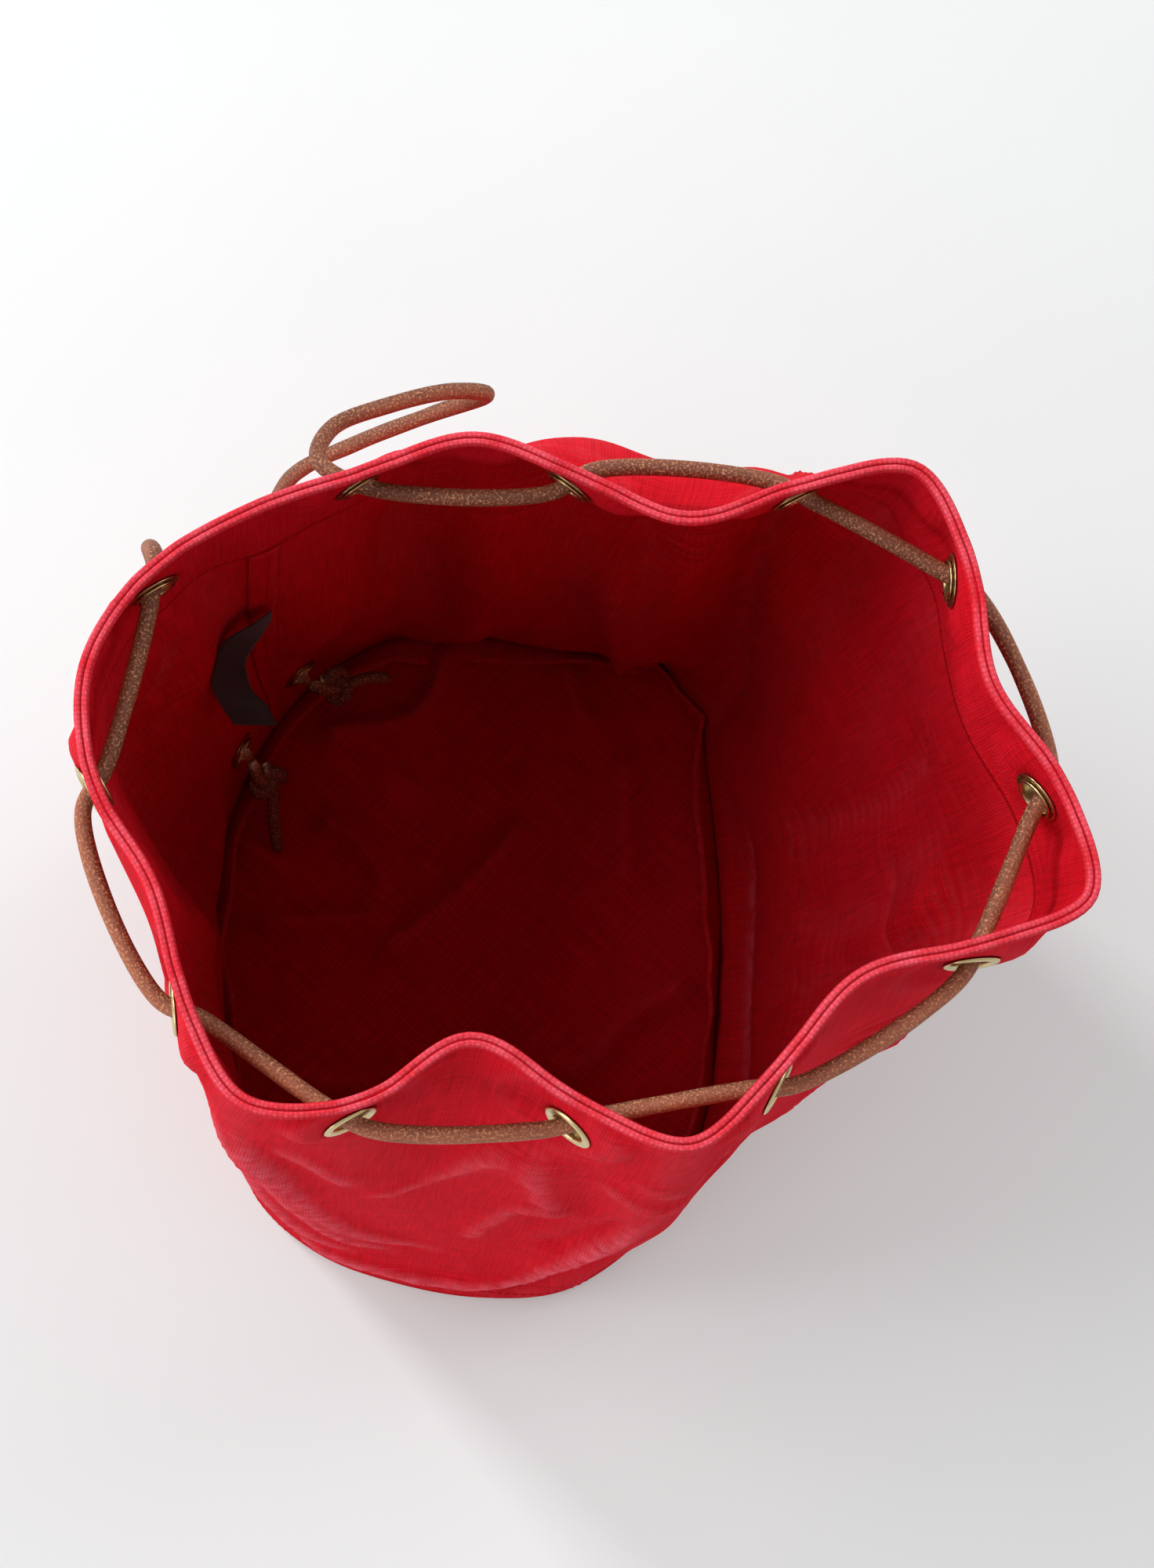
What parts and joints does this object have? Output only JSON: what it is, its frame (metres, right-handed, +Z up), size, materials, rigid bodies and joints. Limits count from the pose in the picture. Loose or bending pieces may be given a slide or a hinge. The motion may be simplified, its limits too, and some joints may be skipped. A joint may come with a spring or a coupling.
{
  "type": "drawstring backpack",
  "caption": "Canvas drawstring bucket backpack standing open on an oval base, its leather cord threaded through the mouth eyelets and run down the back as straps.",
  "frame": {"origin": "middle of the body's floor print, on the floor", "axes": "+Z up along the bag's height, +Y towards the back seam and the straps"},
  "size_m": [0.2984, 0.3152, 0.38],
  "materials": {
    "canvas": "matte plain-weave cotton canvas",
    "brass": "pale polished",
    "leather": "waxed round cord",
    "ribbon": "woven satin ribbon"
  },
  "bodies": {
    "root": {"base_panel": "canvas", "body_wall": "canvas", "mouth_facing": "canvas", "base_seam_binding": "canvas", "mouth_eyelet_1": "brass", "mouth_eyelet_1_washer": "brass", "mouth_eyelet_2": "brass", "mouth_eyelet_2_washer": "brass", "mouth_eyelet_3": "brass", "mouth_eyelet_3_washer": "brass", "mouth_eyelet_4": "brass", "mouth_eyelet_4_washer": "brass", "mouth_eyelet_5": "brass", "mouth_eyelet_5_washer": "brass", "mouth_eyelet_6": "brass", "mouth_eyelet_6_washer": "brass", "mouth_eyelet_7": "brass", "mouth_eyelet_7_washer": "brass", "mouth_eyelet_8": "brass", "mouth_eyelet_8_washer": "brass", "mouth_eyelet_9": "brass", "mouth_eyelet_9_washer": "brass", "mouth_eyelet_10": "brass", "mouth_eyelet_10_washer": "brass", "mouth_eyelet_11": "brass", "mouth_eyelet_11_washer": "brass", "mouth_eyelet_12": "brass", "mouth_eyelet_12_washer": "brass", "strap_eyelet_left": "brass", "strap_eyelet_left_washer": "brass", "strap_eyelet_right": "brass", "strap_eyelet_right_washer": "brass", "label": "ribbon", "strap_left": "leather", "mouth_cord": "leather", "strap_right": "leather", "knot_left": "leather", "knot_right": "leather"}
  },
  "joints": []
}
